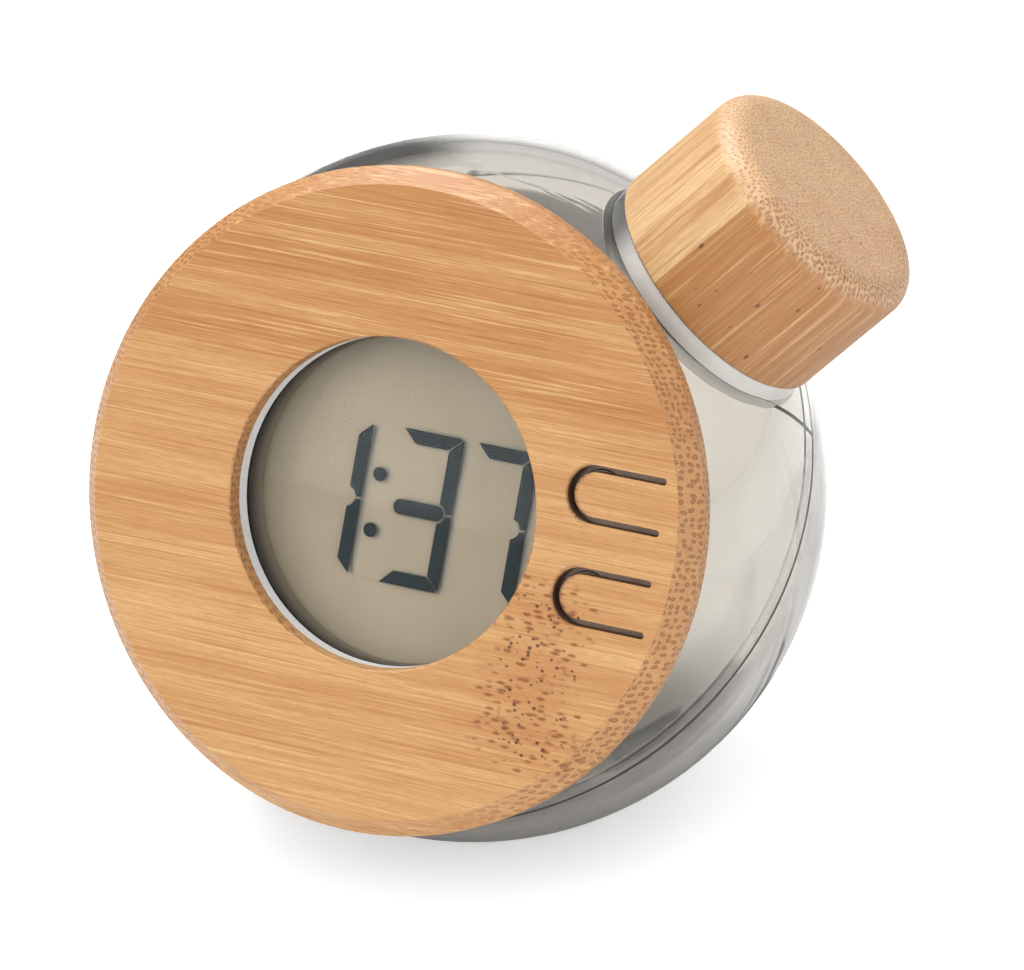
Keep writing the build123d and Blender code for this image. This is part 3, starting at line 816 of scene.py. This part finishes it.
# Stage: floor, cards, world, lamps and camera, in metres
FLOOR_HALF = 4
FLOOR_DROP = 0.0002
FOOT_EDGE = 0.022
PATCH_X, PATCH_Y = 0.366, 0.931  # direction of the dark patch
CARD_EDGE = (1.0, 0.7)


def flat_square(name, half):
    """Square in the x-y plane, twice half wide."""
    mesh = bpy.data.meshes.new(name)
    corners = [(-half, -half, 0), (half, -half, 0), (half, half, 0), (-half, half, 0)]
    mesh.from_pydata(corners, [], [(0, 1, 2, 3)])
    piece = bpy.data.objects.new(name, mesh)
    bpy.context.scene.collection.objects.link(piece)
    return piece


def floor_material(name):
    """White floor. Seen through or in the tank, it has a painted shadow by the foot and a painted glow
    further off.
    """
    g = Graph(name)
    path = g.add("LightPath")
    x, y, _ = g.split(g.place())
    length = g.add("VectorMath", operation="LENGTH")
    g.put(length.inputs[0], g.place())
    away = length.outputs["Value"]
    in_tank = g.calc("MAXIMUM", path.outputs["Is Glossy Ray"], path.outputs["Is Transmission Ray"])

    # The painted shadow: a soft round one, and a dark patch on a slant beside it
    along = g.calc("ADD", g.times(x, PATCH_X), g.times(y, PATCH_Y))
    side = g.calc("SUBTRACT", g.times(x, PATCH_Y), g.times(y, PATCH_X))
    across_patch = g.times(g.fade(side, 0.0102, 0.0120), g.fade(side, 0.0250, 0.0205))
    along_patch = g.times(g.fade(along, 0.0018, 0.0178), g.fade(along, 0.0520, 0.0465))
    patch = g.times(across_patch, along_patch)
    round_shade = g.fade(away, 0.058, FOOT_EDGE, 0.0, 0.36)
    shadow = g.times(in_tank, g.calc("MAXIMUM", patch, round_shade))
    white = g.tone(g.noise(g.place(), 6.0), grey(0.82), grey(0.84))
    g.set(Base_Color=g.mix(shadow, white, grey(0.07)), Roughness=0.9, Specular_IOR_Level=0.0)

    glow = g.times(g.fade(away, FOOT_EDGE, 0.060, 0.06, 0.20), g.rest(patch))
    behind = g.times(in_tank, glow)
    # To the camera the floor glows white, a little less near the foot: a painted shadow round it
    front = g.times(path.outputs["Is Camera Ray"], g.fade(away, FOOT_EDGE, 0.042, 0.44, 0.62))
    g.set(Emission_Color=grey(1.0), Emission_Strength=g.calc("MAXIMUM", front, behind))
    return g.material


floor = flat_square("floor", FLOOR_HALF)
floor.location.z = -FLOOR_DROP
floor.data.materials.append(floor_material("floor"))


def card(name, place, half, turn, shade):
    """Dark soft-edged card of the studio, which shows only in and through the tank."""
    piece = flat_square(name, 1)
    piece.location = place
    piece.rotation_euler = turn
    piece.scale = (*half, 1.0)
    piece.visible_camera = False
    piece.visible_diffuse = False
    piece.visible_shadow = False
    g = Graph(name)
    x, y, _ = g.split(g.place())
    sides = g.fade(g.calc("ABSOLUTE", x), *CARD_EDGE)
    ends = g.fade(g.calc("ABSOLUTE", y), *CARD_EDGE)
    g.set(Base_Color=g.tone(g.noise(g.place(), 2.0), grey(shade), grey(shade * 1.3)))
    g.set(Roughness=0.9, Specular_IOR_Level=0.0, Alpha=g.times(sides, ends))
    piece.data.materials.append(g.material)


UPRIGHT = (pi / 2, 0, atan2(0.212, 0.201))
FLAT = (0, 0, 0)
card("card_left", (-0.2595, 0.206, 0.02), (0.172, 0.21), UPRIGHT, 0.13)
card("card_back", (-0.08, 0.214, 0.001), (0.095, 0.036), FLAT, 0.20)
card("card_right", (0.1, 0.105, 0.001), (0.076, 0.092), FLAT, 0.56)

# The world is white to the camera and through the tank, and dimmer as a light
WORLD_LIGHT = 0.42
WORLD_SEEN = 1.0
world = bpy.data.worlds.new("studio")
bpy.context.scene.world = world
world.use_nodes = True
tree = world.node_tree
path = tree.nodes.new("ShaderNodeLightPath")
seen = tree.nodes.new("ShaderNodeMath")
seen.operation = "ADD"
tree.links.new(path.outputs["Is Camera Ray"], seen.inputs[0])
tree.links.new(path.outputs["Is Transmission Ray"], seen.inputs[1])
level = tree.nodes.new("ShaderNodeMapRange")
tree.links.new(seen.outputs[0], level.inputs["Value"])
level.inputs["To Min"].default_value = WORLD_LIGHT
level.inputs["To Max"].default_value = WORLD_SEEN
back = tree.nodes["Background"]
back.inputs["Color"].default_value = (1.0, 1.0, 1.0, 1.0)
tree.links.new(level.outputs[0], back.inputs["Strength"])

LAMP_TARGET = Vector((0, 0, 0.05))
CAMERA_OFFSET = Vector((0.33808, -0.72728, 0.39764))  # from the tank's middle


def lamp(name, place, size, power):
    """Square or oblong lamp that points at the clock."""
    data = bpy.data.lights.new(name, "AREA")
    data.shape = "RECTANGLE"
    data.size, data.size_y = size
    data.energy = power
    piece = bpy.data.objects.new(name, data)
    piece.location = place
    piece.rotation_euler = (LAMP_TARGET - Vector(place)).to_track_quat("-Z", "Y").to_euler()
    bpy.context.scene.collection.objects.link(piece)
    return piece


key = lamp("key", (-0.26, -1.2, 0.72), (0.9, 0.9), 7.2)
key.visible_glossy = False  # keeps its reflection off the lens
lamp("fill", (0.95, -0.45, 0.45), (0.5, 0.8), 3.2)
lamp("top", (-0.42, 0.20, 1.05), (0.8, 0.8), 13.0)

camera_data = bpy.data.cameras.new("camera")
camera_data.sensor_fit = "HORIZONTAL"
camera_data.sensor_width = 36.0
camera_data.lens = 228.5
camera_data.clip_start = 0.01
camera_data.clip_end = 100.0
camera = bpy.data.objects.new("camera", camera_data)
camera.location = TANK_MIDDLE / MM + CAMERA_OFFSET
camera.rotation_euler = (radians(63.65), 0.0, radians(24.55))
bpy.context.scene.collection.objects.link(camera)
bpy.context.scene.camera = camera
bpy.context.scene.view_settings.view_transform = "Standard"
